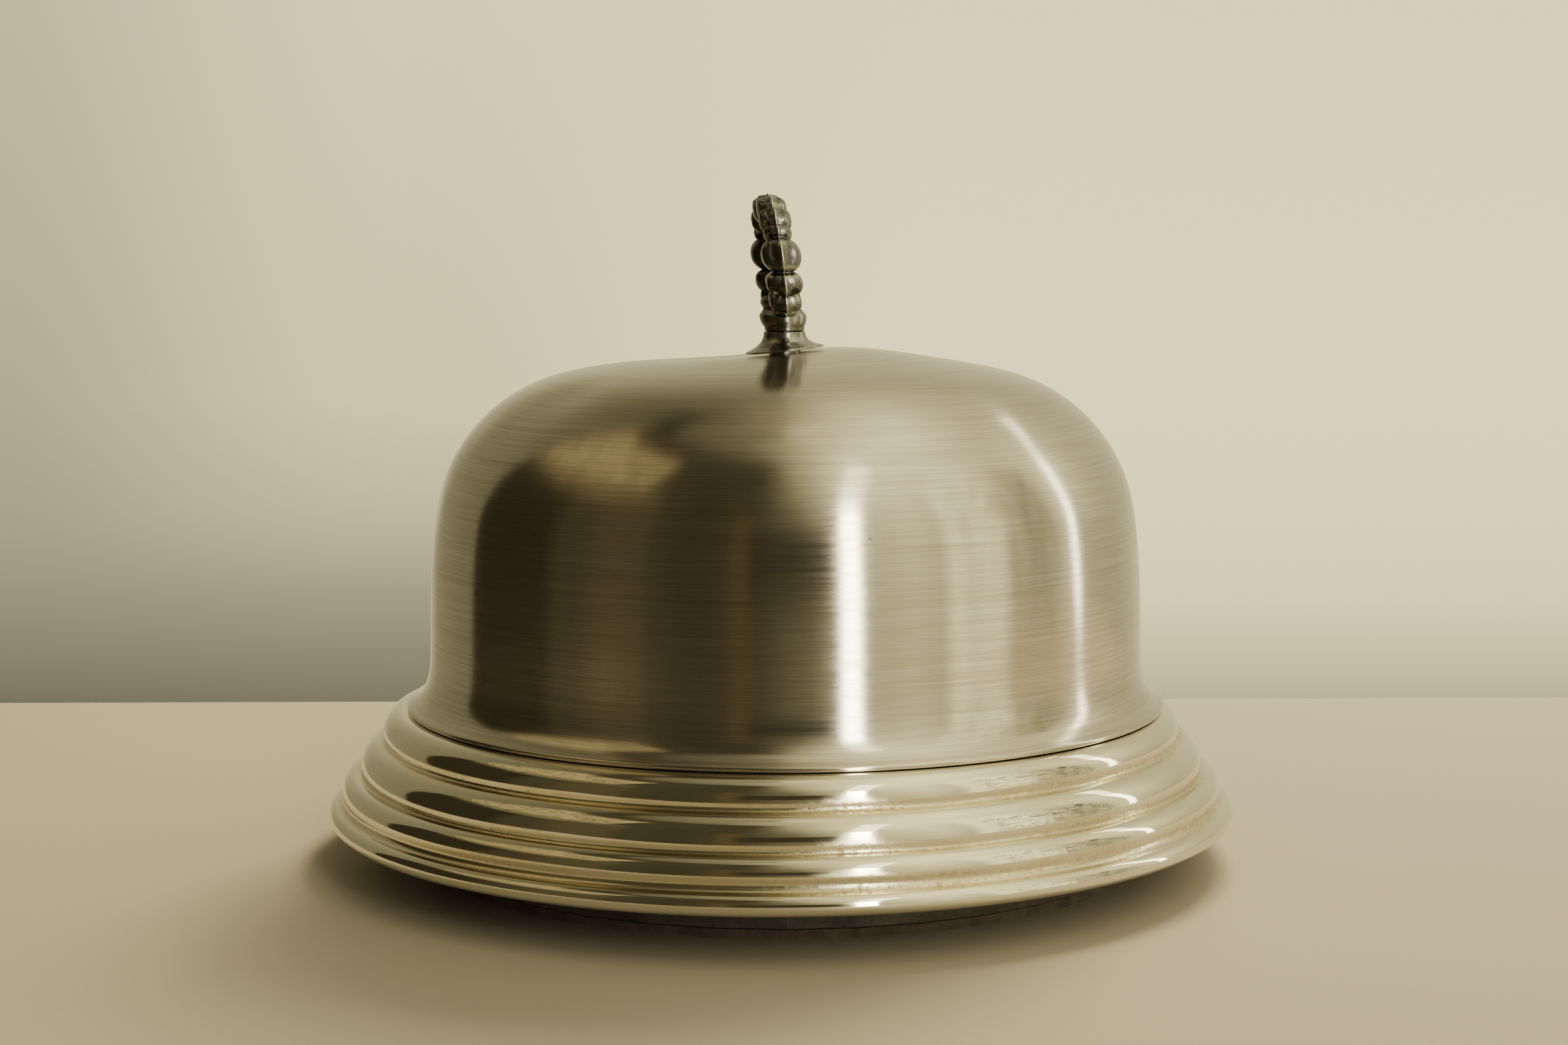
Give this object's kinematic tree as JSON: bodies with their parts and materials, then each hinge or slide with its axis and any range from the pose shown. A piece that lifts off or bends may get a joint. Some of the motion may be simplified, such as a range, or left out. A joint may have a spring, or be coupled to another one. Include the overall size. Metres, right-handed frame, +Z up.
{
  "type": "turn-key service bell",
  "caption": "Table service bell with a spun dome gong on a beaded base, rung by turning an upright key that spins geared strikers inside the dome.",
  "frame": {"origin": "centre of the beaded ring on the table, under the foot pad", "axes": "+Z up along the bell's axis; -Y faces the viewer, so the key is seen edge-on; +X to the right"},
  "size_m": [0.1306, 0.1306, 0.0954],
  "materials": {
    "felt_dark": "felt",
    "cast_iron_black": "matte",
    "silver_plate": "polished with tarnish in the valleys",
    "nickel_shell": "brushed round the axis",
    "oxidised_silver": "cast and oxidised",
    "brass_works": "satin",
    "steel_works": "satin"
  },
  "bodies": {
    "base": {"foot_pad": "felt_dark", "base_plate": "cast_iron_black", "base_ring": "silver_plate", "base_screw_1": "steel_works", "base_screw_2": "steel_works", "base_screw_3": "steel_works", "pillar_1": "brass_works", "pillar_2": "brass_works", "pillar_3": "brass_works", "plate_screw_1": "steel_works", "plate_screw_2": "steel_works", "plate_screw_3": "steel_works", "movement_plate": "brass_works", "arbor_bridge": "brass_works", "bridge_screw_1": "steel_works", "bridge_screw_2": "steel_works", "arbor_bush": "brass_works", "centre_post": "steel_works", "retaining_collar": "brass_works", "seat_washer": "steel_works", "felt_washer": "felt_dark", "gong": "nickel_shell", "rose": "oxidised_silver", "stop_stud": "steel_works", "spring_stud": "steel_works"},
    "key": {"key": "oxidised_silver", "key_set_screw": "steel_works", "spindle": "steel_works", "great_wheel": "brass_works", "wheel_collet": "brass_works", "return_spring": "steel_works"},
    "arbor": {"arbor": "steel_works", "arbor_pinion": "steel_works", "arbor_wheel": "brass_works"},
    "flail": {"flail_pinion": "steel_works", "flail_hub": "brass_works", "striker_bar": "steel_works", "striker_pin_left": "steel_works", "striker_pin_right": "steel_works"},
    "striker_left": {"striker_arm_left": "steel_works", "striker_head_left": "brass_works"},
    "striker_right": {"striker_arm_right": "steel_works", "striker_head_right": "brass_works"}
  },
  "joints": [
    {"name": "key_turn", "type": "hinge", "parent": "base", "child": "key", "pos_m": [0.0007, 0, 0.05], "axis": [0, 0, 1], "range_deg": [0, 110], "stiffness_Nm_per_rad": 0.02, "springref_deg": -17.19, "deforming": ["return_spring"]},
    {"name": "arbor_spin", "type": "hinge", "parent": "base", "child": "arbor", "pos_m": [0.0207, 0, 0.0145], "axis": [0, 0, 1], "range_deg": [-335, 5]},
    {"name": "flail_spin", "type": "hinge", "parent": "base", "child": "flail", "pos_m": [0.0007, 0, 0.0226], "axis": [0, 0, 1], "range_deg": [-5, 775]},
    {"name": "striker_left_swing", "type": "hinge", "parent": "flail", "child": "striker_left", "pos_m": [-0.0293, 0, 0.0273], "axis": [0, 0, 1], "range_deg": [-70, 60]},
    {"name": "striker_right_swing", "type": "hinge", "parent": "flail", "child": "striker_right", "pos_m": [0.0307, 0, 0.0273], "axis": [0, 0, 1], "range_deg": [-70, 60]}
  ],
  "couplings": [
    {"joint": "arbor_spin", "follows": "key_turn", "ratio": -3},
    {"joint": "flail_spin", "follows": "key_turn", "ratio": 7}
  ]
}
